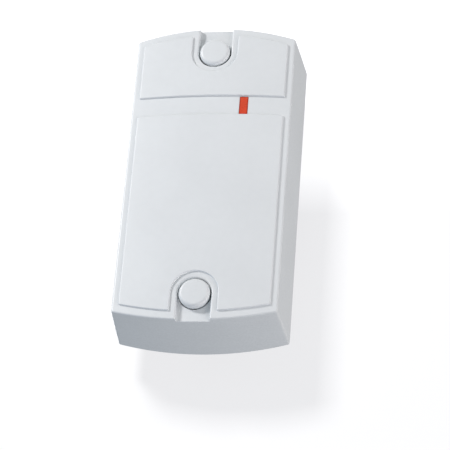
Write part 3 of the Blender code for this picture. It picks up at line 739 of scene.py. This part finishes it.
def make_front_cover():
    cover = round_edges(drafted_slab("front_cover_visual", 0, 0, FACE_HEIGHT), CASE_EDGE)
    above = FACE_HEIGHT + 2 * PAST
    for foot, side in ((UPPER_PANEL_FOOT, 1), (LOWER_PANEL_FOOT, -1)):
        outline = panel_outline(foot, side)
        panel = slab("panel", outline, FACE_HEIGHT - MM, FACE_HEIGHT + PANEL_RAISE)
        join(cover, round_edges(panel, PANEL_EDGE))
    cut(
        cover,
        drafted_slab("cavity", WALL, PLATE_THICKNESS, INNER_FACE),
        slab("plate_seat", case_outline(PLATE_SEAT_INSET), -PAST, LEDGE),
    )
    for side in (1, -1):
        column = circle((0, side * SCREW_Z), COLUMN_RADIUS, 48)
        join(cover, slab("column", column, LEDGE, INNER_FACE + MM))
    add_bosses(cover, CASE_SCREWS, PLATE_THICKNESS + 0.1 * MM, CASE_BOSS)
    add_bosses(cover, BOARD_SCREWS, BOARD_FRONT + 0.06 * MM, BOARD_BOSS)
    for side in (1, -1):
        place = (0, side * SCREW_Z)
        cut(
            cover,
            channel_cutter(side),
            slab("recess", circle(place, RECESS_RADIUS, 80), SHOULDER, above + PAST),
            slab("bore", circle(place, SCREW_BORE, 40), -2 * PAST, above + 2 * PAST),
            floor_end_cutter(side),
        )
    half_x, half_z = WINDOW_WIDTH / 2 + WINDOW_GAP, WINDOW_LENGTH / 2 + WINDOW_GAP
    slot = rounded_rectangle(half_x, half_z, 0.2 * MM, 4, WINDOW)
    cut(cover, slab("window", slot, INNER_FACE - 3 * PAST, above))
    smooth(bend_to_crown(cover))
    return stand_for(cover, "front_cover", "case", CASE_PLASTIC)


def rim_cutter(radius):
    """Profile of a cutter for a hole through the plate whose rim at the wall is rounded."""
    edge = 0.2 * MM
    profile = [(0, 3 * PAST), (radius, 3 * PAST)]
    for degrees in (0, 30, 60, 85):
        a = math.radians(degrees)
        profile.append((radius + edge - edge * math.cos(a), edge - edge * math.sin(a)))
    return profile + [(radius + edge, -PAST), (0, -PAST)]


def make_rear_plate():
    plate = slab("rear_plate_visual", case_outline(PLATE_INSET), 0, PLATE_THICKNESS)
    round_edges(plate, 0.25 * MM, 3)
    low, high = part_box("rear_label")
    half_x = (high.x - low.x) / 2 + LABEL_GAP
    half_z = (high.z - low.z) / 2 + LABEL_GAP
    recess = rounded_rectangle(half_x, half_z, 1.2 * MM, 8, (0, (low.z + high.z) / 2))
    cut(plate, slab("label_recess", recess, -PAST, LABEL_RECESS))
    cut(plate, turned("cable_hole", rim_cutter(CABLE_HOLE), 0, CABLE_Z))
    for side in (-1, 1):
        cut(plate, turned("mounting_hole", rim_cutter(MOUNTING_HOLE), 0, side * SCREW_Z, steps=64))
        for x, z in EJECTOR_MARKS:
            mark = circle((side * x, z), EJECTOR_RADIUS, 48)
            cut(plate, slab("ejector_mark", mark, -PAST, EJECTOR_DEPTH))
    hole, sink, depth = 1.2 * MM, 2.5 * MM, 1.3 * MM
    profile = [(0, 3 * PAST), (hole, 3 * PAST), (hole, depth), (sink, 0), (sink, -PAST), (0, -PAST)]
    for place in CASE_SCREWS:
        cut(plate, turned("countersink", profile, *place, steps=48))
    return stand_for(smooth(plate), "rear_plate", "case", REAR_PLASTIC)


def make_perimeter_seal():
    low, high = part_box("perimeter_seal")
    seal = slab("perimeter_seal_visual", case_outline(PLATE_INSET), -high.y, -low.y)
    cut(seal, slab("seal_hole", case_outline(WALL), -high.y - PAST, -low.y + PAST))
    return stand_for(smooth(seal), "perimeter_seal", "case", RUBBER)


def make_rear_label():
    low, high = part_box("rear_label")
    half_x, half_z = (high.x - low.x) / 2, (high.z - low.z) / 2
    outline = rounded_rectangle(half_x, half_z, MM, 10, (0, (low.z + high.z) / 2))
    label = round_edges(slab("rear_label_visual", outline, -high.y, -low.y), 0.05 * MM, 2)
    return stand_for(smooth(label), "rear_label", "case", LABEL_FOIL)


def make_screw_cap(word, side):
    """A disc with a rounded edge, over a skirt that is slotted into four springy fingers."""
    z = side * SCREW_Z
    under = CAP_TOP - CAP_DISC
    under_edge = 0.2 * MM
    profile = [(0, CAP_TOP)]
    profile += arc((CAP_RADIUS - CAP_EDGE, CAP_TOP - CAP_EDGE), CAP_EDGE, 90, 0, 10)
    profile += arc((CAP_RADIUS - under_edge, under + under_edge), under_edge, 0, -90, 3)
    profile.append((SKIRT_OUTER, under - 0.1 * MM))
    profile += arc((SKIRT_OUTER - 0.15 * MM, CAP_SKIRT_FOOT + 0.6 * MM), 0.27 * MM, 60, -60, 5)
    profile += [(SKIRT_OUTER - 0.3 * MM, CAP_SKIRT_FOOT), (SKIRT_INNER, CAP_SKIRT_FOOT)]
    profile += [(SKIRT_INNER, under), (0, under)]
    cap = turned(f"{word}_screw_cap_visual", profile, 0, z)
    height = (CAP_SKIRT_FOOT + under) / 2 - 0.6 * MM
    across, deep = 9 * MM, under - CAP_SKIRT_FOOT
    for size in ((across, deep, FINGER_SLOT), (FINGER_SLOT, deep, across)):
        cut(cap, block("finger_slot", size, (0, height, z)))
    node = f"{word}_screw_cap"
    return stand_for(smooth(cap), node, f"{word}_cap", CASE_PLASTIC)


def make_indicator_lens():
    """A light pipe: a bar up to the window, over a flange that stops it falling out."""
    half_x, half_z = WINDOW_WIDTH / 2, WINDOW_LENGTH / 2
    bar = rounded_rectangle(half_x, half_z, 0.15 * MM, 5, WINDOW)
    lens = slab("indicator_lens_visual", bar, LENS_FOOT, FACE_HEIGHT)
    round_edges(lens, 0.12 * MM, 3)
    flange = rounded_rectangle(half_x + 0.3 * MM, half_z + 0.9 * MM, 0.3 * MM, 5, WINDOW)
    join(lens, slab("flange", flange, LENS_FLANGE_REAR, LENS_FLANGE_FRONT))
    smooth(bend_to_crown(lens))
    return stand_for(lens, "indicator_lens", "case", LENS_RED)


# ---------------------------------------------------------------- fasteners


def cross_cutter(x, z, top, depth, length, width):
    """A tapering cross that cuts from a height downwards, or upwards if depth is negative."""
    rings = []
    for share, scale in ((-0.15, 1.05), (0.0, 1.0), (1.0, 0.55)):
        long, thin = length / 2 * scale, width / 2 * scale
        quarter = [(long, -thin), (long, thin), (thin, thin)]
        ring = []
        for turn in range(4):
            cosine, sine = round(math.cos(turn * math.pi / 2)), round(math.sin(turn * math.pi / 2))
            ring += [(px * cosine - pz * sine, px * sine + pz * cosine) for px, pz in quarter]
        rings.append([(x + px, top - depth * share, z + pz) for px, pz in ring])
    return loft("cross", rings)


def threaded_shank(x, z, start, end, radius, pitch, plain, taper=3.0 * MM, steps=40, rows=10):
    """A helical thread from one height to another, with a plain length first and a point last."""
    length, towards = abs(end - start), math.copysign(1, end - start)
    core, blunt, flank = radius * 0.70, 0.02, 0.3
    count = max(2, round(length / pitch * rows))
    rings = []
    for row in range(count):
        along = length * row / (count - 1)
        share = min(1, max(blunt, (length - along) / taper))
        fade = min(1, max(0, (along - plain) / pitch))
        ring = []
        for step in range(steps):
            angle = 2 * math.pi * step / steps
            phase = (along / pitch - towards * step / steps) % 1
            ridge = max(0, 1 - abs(phase - 0.5) / flank) * fade
            reach = (core + (radius - core) * ridge) * share
            height = start + towards * along
            ring.append((x + reach * math.cos(angle), height, z + reach * math.sin(angle)))
        rings.append(ring)
    return loft("thread", rings)


def one_piece(name, *pieces):
    """Gather several closed bodies into one mesh."""
    edit = bmesh.new()
    for piece in pieces:
        edit.from_mesh(piece.data)
        bpy.data.objects.remove(piece, do_unlink=True)
    return add_mesh(name, edit)


def fuse(head, shank):
    """Join a screw's shank to its head, and split the faces that meet along the seam."""
    join(head, shank)
    return edit_mesh(head, lambda edit: bmesh.ops.triangulate(edit, faces=edit.faces))


def make_mounting_screw(word, side):
    """A pan-head wood screw through the case, its tip standing out behind the wall face."""
    node = f"{word}_mounting_screw"
    z = side * SCREW_Z
    seat, head_radius, head_top = SHOULDER + 0.06 * MM, 3.5 * MM, SHOULDER + 2.56 * MM
    dome, edge, foot_edge = 4.0 * MM, 0.5 * MM, 0.15 * MM
    profile = [(0, head_top)]
    profile += arc((0, head_top - dome), dome, 90, 54, 6)[1:]
    profile += arc((head_radius - edge, seat + 0.85 * MM), edge, 45, 0, 4)
    profile += [(head_radius, seat + foot_edge), (head_radius - foot_edge, seat), (0, seat)]
    head = turned(f"{node}_visual", profile, 0, z, steps=64)
    cut(head, cross_cutter(0, z, head_top, depth=1.4 * MM, length=3.8 * MM, width=0.9 * MM))
    start, tip = seat + 0.5 * MM, -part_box(node)[1].y
    shank = threaded_shank(0, z, start, tip, radius=1.75 * MM, pitch=1.5 * MM, plain=6 * MM)
    return stand_for(smooth(fuse(head, shank)), node, "case", STEEL)


def make_case_screw(number, x, z):
    """A countersunk screw, in from the back."""
    node = f"case_screw_{number}"
    face = 0.05 * MM
    profile = [(0, 1.5 * MM), (0.85 * MM, 1.4 * MM), (2.1 * MM, 0.2 * MM), (2.15 * MM, 0.12 * MM)]
    profile += [(2.12 * MM, 0.06 * MM), (2.05 * MM, face), (0, face)]
    head = turned(f"{node}_visual", profile, x, z, steps=48)
    cut(head, cross_cutter(x, z, face, depth=-0.9 * MM, length=2.4 * MM, width=0.6 * MM))
    shank = threaded_shank(
        x,
        z,
        start=1.3 * MM,
        end=8 * MM,
        radius=0.85 * MM,
        pitch=0.7 * MM,
        plain=0.4 * MM,
        taper=MM,
        steps=20,
        rows=6,
    )
    return stand_for(smooth(fuse(head, shank)), node, "case", STEEL)


# ---------------------------------------------------------------- cable


def make_cable_jacket():
    low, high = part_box("cable_jacket")
    inside, outside = -low.y, -high.y
    radius, bore, edge = (high.x - low.x) / 2, 2.15 * MM, 0.15 * MM
    profile = [(radius, inside), (radius, outside + edge), (radius - edge, outside)]
    profile += [(bore + edge, outside), (bore, outside + edge), (bore, inside)]
    jacket = turned("cable_jacket_visual", profile, z=CABLE_Z, closed=True, steps=64)
    return stand_for(smooth(jacket, 50), "cable_jacket", "case", CABLE_PVC)


def make_cable_grommet():
    """A strain relief: a flange inside the plate, a body in its hole, and a ribbed snout."""
    low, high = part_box("cable_grommet")
    bore, body, flange = 2.9 * MM, CABLE_HOLE - 0.1 * MM, (high.x - low.x) / 2
    flange_rear, end = PLATE_THICKNESS + 0.06 * MM, -high.y
    ribs, rib_pitch, narrowing, groove_depth = 3, 2.6 * MM, 0.35 * MM, 0.7 * MM
    profile = [(flange, -low.y), (flange, flange_rear), (body, flange_rear), (body, -0.4 * MM)]
    for i in range(ribs):
        top = -0.6 * MM - i * rib_pitch
        radius = body - i * narrowing
        groove = radius - groove_depth
        profile += [(radius - 0.12 * MM, top), (groove + 0.1 * MM, top - 0.25 * MM)]
        profile += [(groove, top - 0.4 * MM), (groove, top - 1.0 * MM)]
        profile += [(groove + 0.1 * MM, top - 1.2 * MM), (radius - 0.37 * MM, top - 1.38 * MM)]
        profile += [(radius - 0.25 * MM, top - 1.5 * MM), (radius - 0.33 * MM, top - 2.5 * MM)]
    profile += [(bore + 0.5 * MM, end + 0.15 * MM), (bore + 0.35 * MM, end)]
    profile += [(bore, end), (bore, -low.y)]
    grommet = turned("cable_grommet_visual", profile, z=CABLE_Z, closed=True, steps=80)
    return stand_for(smooth(grommet, 50), "cable_grommet", "case", RUBBER)


def rounded_path(corners, radius):
    """The corner points joined by straight runs, with each inner corner rounded off."""
    steps = 6
    points = [Vector(corners[0])]
    for before, corner, after in zip(corners, corners[1:], corners[2:]):
        before, corner, after = Vector(before), Vector(corner), Vector(after)
        reach = min(radius, (corner - before).length * 0.45, (after - corner).length * 0.45)
        start = corner + (before - corner).normalized() * reach
        end = corner + (after - corner).normalized() * reach
        for i in range(steps + 1):
            t = i / steps
            points.append(start * (1 - t) ** 2 + corner * 2 * t * (1 - t) + end * t**2)
    points.append(Vector(corners[-1]))
    return points


def tube(name, points, radius):
    """A round wire along a path of (x, height, z) points."""
    curve = bpy.data.curves.new(name, "CURVE")
    curve.dimensions = "3D"
    curve.bevel_depth = radius
    curve.bevel_resolution = 4
    curve.use_fill_caps = True
    spline = curve.splines.new("POLY")
    spline.points.add(len(points) - 1)
    for point, (x, height, z) in zip(spline.points, points):
        point.co = (x, -height, z, 1)
    source = new_object(name + "_curve", curve)
    edit = bmesh.new()
    edit.from_mesh(evaluated_mesh(source))
    bpy.data.objects.remove(source, do_unlink=True)
    bmesh.ops.remove_doubles(edit, verts=edit.verts, dist=SAME_POINT)
    return smooth(add_mesh(name, edit), 50)


def wire_slots():
    """Where each wire lies inside the jacket, as (x, z from the cable's axis, inner height)."""
    rows = ((-1, (-1, 0, 1), 4.55), (0, (-1, 0, 1), 5.7), (1, (-0.5, 0.5), 6.85))
    slots = []
    for row, places, height in rows:
        slots += [(place * WIRE_SPACING, row * WIRE_SPACING, height * MM) for place in places]
    return slots


def make_conductor(colour, x, z, wire_end):
    """The bare end of a wire: one strand with six more laid round it in a slow twist."""
    inner_end = STRIPPED + 0.5 * MM
    strands = []
    for k in range(OUTER_STRANDS + 1):
        lay = math.radians(360 / OUTER_STRANDS * k)
        off = 0.0 if k == OUTER_STRANDS else STRAND_RADIUS * 2
        path = []
        for j in range(LAY_STEPS + 1):
            turn = lay + math.radians(LAY_STEP_DEGREES * j)
            height = wire_end + 0.03 * MM + inner_end * (1 - j / LAY_STEPS)
            path.append((x + off * math.cos(turn), height, z + off * math.sin(turn)))
        strands.append(tube("strand", path, STRAND_RADIUS))
    conductor = smooth(one_piece(f"{colour}_conductor", *strands), 50)
    paint(conductor, TINNED_COPPER)
    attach(conductor, "case")


def make_wires():
    """Eight insulated wires from the plug, out through the jacket, each with a stripped end."""
    plug_face = PLUG_Z + 4.3 * MM
    middle = -(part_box("cable_plug")[0].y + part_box("cable_plug")[1].y) / 2
    jacket_end = -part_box("cable_jacket")[1].y
    order = (0, 3, 6, 1, 4, 7, 2, 5)
    slots = wire_slots()
    for i, ((colour, rgb), slot) in enumerate(zip(WIRE_COLOURS.items(), order)):
        node = f"{colour}_wire"
        x = (i - (len(WIRE_COLOURS) - 1) / 2) * WIRE_PITCH
        slot_x, slot_z, run = slots[slot]
        wire_end = -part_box(node)[1].y
        end_x, end_z = slot_x * WIRE_FAN, CABLE_Z + slot_z * WIRE_FAN
        corners = [
            (x, middle, plug_face - 1.4 * MM),
            (x, middle, plug_face + 0.7 * MM),
            (x, run, plug_face + 2.2 * MM),
            (slot_x, run, CABLE_Z - 3.4 * MM),
            (slot_x, run, CABLE_Z + slot_z),
            (slot_x, jacket_end - MM, CABLE_Z + slot_z),
            (end_x, wire_end + 4 * MM, end_z),
            (end_x, wire_end + STRIPPED, end_z),
        ]
        insulation = tube(f"{colour}_insulation", rounded_path(corners, MM), WIRE_RADIUS)
        finish = wire_plastic(colour, rgb)
        stand_for(insulation, node, "case", finish)
        make_conductor(colour, end_x, end_z, wire_end)


def finish_inside():
    """Finishes for what stays as CAD solids, shut inside the case."""
    paint(NODES["circuit_board"], board_material())
    former = moulded_plastic("former_nylon", (0.05, 0.05, 0.055))
    paint(NODES["coil_former"], former)
    windings = winding_material()
    for node in ("antenna_coil", "coil_lead_1", "coil_lead_2"):
        paint(NODES[node], windings)
    for i in range(1, 5):
        paint(NODES[f"board_screw_{i}"], STEEL)
    black, brown, yellow = (0.02, 0.02, 0.022), (0.45, 0.30, 0.16), (0.62, 0.38, 0.06)
    whole = 5 * MM
    component("microcontroller", black, 3.5 * MM, 3.5 * MM)
    component("rf_front_end_chip", black, 1.95 * MM, whole)
    component("voltage_regulator", black, whole, 1.75 * MM)
    component("protection_diode", black, 1.8 * MM, whole)
    for i in (1, 2, 3):
        component(f"resistor_{i}", black, 0.65 * MM, whole)
    for i in (1, 2):
        component(f"tuning_capacitor_{i}", brown, MM, whole)
        component(f"reservoir_capacitor_{i}", yellow, 2.5 * MM, whole)
    component("indicator_led", (0.85, 0.82, 0.72), 1.2 * MM, whole)
    paint(NODES["resonator"], metal("resonator_steel", (0.62, 0.62, 0.60)))
    paint(NODES["sounder"], moulded_plastic("sounder_case", (0.03, 0.03, 0.032)))
    nylon = moulded_plastic("natural_nylon", (0.74, 0.71, 0.61))
    for node in ("board_header", "cable_plug"):
        paint(NODES[node], nylon)


# ---------------------------------------------------------------- stage


def backdrop_material():
    """Pale glowing paper that shows a soft shadow, and glows more towards its top: painted light
    that washes out the upper part of that shadow.

    From behind, it can be seen through.
    """
    material, tree, shader = new_material("backdrop_paper")
    tree.nodes.remove(shader)
    diffuse = add_node(tree, "BsdfDiffuse", Color=(0.36, 0.36, 0.36, 1))
    glow = add_node(tree, "Emission", Color=(0.985, 0.98, 1.0, 1))
    shape = add_node(tree, "NewGeometry")
    place = add_node(tree, "SeparateXYZ")
    wire(tree, shape.outputs["Position"], place.inputs["Vector"])
    # Painted light: the glow grows with height, so the shadow on the backdrop fades out towards its
    # top.
    strength = spread(tree, place.outputs["Z"], *BACKDROP_GLOW, *BACKDROP_FADE)
    wire(tree, strength, glow.inputs["Strength"])
    paper = add_node(tree, "AddShader")
    wire(tree, diffuse.outputs[0], paper.inputs[0])
    wire(tree, glow.outputs[0], paper.inputs[1])
    mix = add_node(tree, "MixShader")
    wire(tree, shape.outputs["Backfacing"], mix.inputs["Fac"])
    wire(tree, paper.outputs[0], mix.inputs[1])
    wire(tree, add_node(tree, "BsdfTransparent").outputs[0], mix.inputs[2])
    wire(tree, mix.outputs[0], tree.nodes["Material Output"].inputs["Surface"])
    return material


def add_backdrop():
    """A sheet behind the reader. It takes shadows, and it neither lights nor shades anything."""
    edit = bmesh.new()
    turn = Matrix.Rotation(math.pi / 2, 4, "X")
    bmesh.ops.create_grid(edit, x_segments=1, y_segments=1, size=BACKDROP_SIZE / 2, matrix=turn)
    mesh = bpy.data.meshes.new("backdrop")
    edit.to_mesh(mesh)
    edit.free()
    backdrop = new_object("backdrop", mesh)
    backdrop.location = (0, BACKDROP_DISTANCE, 0)
    backdrop.data.materials.append(backdrop_material())
    for ray in ("diffuse", "glossy", "transmission", "volume_scatter", "shadow"):
        setattr(backdrop, f"visible_{ray}", False)
    return backdrop


def area_light(name, direction, distance, size, power, colour=(1, 1, 1)):
    """A square soft light that shines on the reader from a direction."""
    data = bpy.data.lights.new(name, "AREA")
    data.size = size
    data.energy = power
    data.color = colour
    light = new_object(name, data)
    towards = Vector(direction).normalized()
    light.location = towards * distance
    light.rotation_euler = (-towards).to_track_quat("-Z", "Y").to_euler()
    return light


def light_only(light, backdrop, state):
    """Keep a light to the backdrop (INCLUDE), or off it (EXCLUDE)."""
    receivers = bpy.data.collections.new(light.name + "_receivers")
    receivers.objects.link(backdrop)
    receivers.collection_objects[0].light_linking.link_state = state
    light.light_linking.receiver_collection = receivers


def add_lights(backdrop):
    """Studio lights on the reader, one more for its shadow on the backdrop, and a pale room."""
    # Name, direction, distance and size in metres, watts, colour
    studio = (
        ("key", (-1.25, -1.0, 0.78), 0.75, 0.13, 4.2, (1.0, 0.975, 0.965)),
        ("front_fill", (0.6, -1.2, 0.9), 0.9, 0.5, 0.4, (1.0, 0.95, 0.94)),
        ("right_fill", (1.6, -0.7, 0.1), 0.9, 0.5, 2.06, (1.0, 0.95, 0.94)),
        ("low_fill", (1.2, -0.7, -1.2), 0.9, 0.5, 2.84, (1.0, 0.93, 0.93)),
        ("cool_bounce", (-1.2, -0.7, -1.2), 0.9, 0.5, 0.62, (0.15, 0.5, 1.0)),
        ("back_light", (-0.8, 1.2, 0.9), 0.9, 0.6, 5.0, (1.0, 0.97, 0.94)),
    )
    for light in studio:
        light_only(area_light(*light), backdrop, "EXCLUDE")
    shadow = area_light("shadow_light", (-0.35, -1.0, 0.46), 0.9, 0.2, 5.0)
    light_only(shadow, backdrop, "INCLUDE")
    world = bpy.data.worlds.new("studio")
    world.use_nodes = True
    tree = world.node_tree
    room = tree.nodes["Background"]
    set_values(room, Color=(0.94, 0.98, 1.0, 1), Strength=0.371)
    white = add_node(tree, "Background", Strength=1.0, Color=(1, 1, 1, 1))
    path = add_node(tree, "LightPath")
    mix = add_node(tree, "MixShader")
    wire(tree, path.outputs["Is Camera Ray"], mix.inputs["Fac"])
    wire(tree, room.outputs[0], mix.inputs[1])
    wire(tree, white.outputs[0], mix.inputs[2])
    wire(tree, mix.outputs[0], tree.nodes["World Output"].inputs["Surface"])
    bpy.context.scene.world = world


def add_camera():
    """A long lens below and to the right of the reader, looking up at its front."""
    azimuth, elevation, roll = math.radians(10.36), math.radians(-28.74), math.radians(4.61)
    target = Vector((2.94, -0.5, -5.93)) * MM
    distance = 609.4 * MM
    forward = Vector(
        (
            -math.sin(azimuth) * math.cos(elevation),
            math.cos(azimuth) * math.cos(elevation),
            -math.sin(elevation),
        )
    )
    right = forward.cross(Vector((0, 0, 1))).normalized()
    up = right.cross(forward)
    turned_right = right * math.cos(roll) + up * math.sin(roll)
    turned_up = turned_right.cross(forward)
    axes = Matrix((turned_right, turned_up, -forward)).transposed().to_4x4()
    data = bpy.data.cameras.new("camera")
    data.lens = 191.64
    data.sensor_width = 36
    data.clip_start, data.clip_end = 0.01, 20
    camera = new_object("camera", data)
    camera.matrix_world = Matrix.Translation(target - forward * distance) @ axes
    bpy.context.scene.camera = camera


CASE_PLASTIC = moulded_plastic("case_abs", (0.7095, 0.7355, 0.7535))
REAR_PLASTIC = moulded_plastic("rear_abs", (0.42, 0.44, 0.46), 0.52, depth=8e-6)
RUBBER = rubbery("black_rubber", (0.03, 0.03, 0.032))
CABLE_PVC = rubbery("cable_pvc", (0.09, 0.09, 0.095), 0.48)
LABEL_FOIL = label_foil()
LENS_RED = lens_acrylic()
STEEL = metal("zinc_plated_steel", (0.62, 0.62, 0.60))
TINNED_COPPER = metal("tinned_copper", (0.74, 0.66, 0.58))

make_front_cover()
make_rear_plate()
make_perimeter_seal()
make_rear_label()
make_indicator_lens()
for word, side in (("upper", 1), ("lower", -1)):
    make_screw_cap(word, side)
    make_mounting_screw(word, side)
for number, place in enumerate(CASE_SCREWS, 1):
    make_case_screw(number, *place)
make_cable_jacket()
make_cable_grommet()
make_wires()
finish_inside()
add_lights(add_backdrop())
add_camera()
bpy.context.scene.view_settings.view_transform = "Standard"
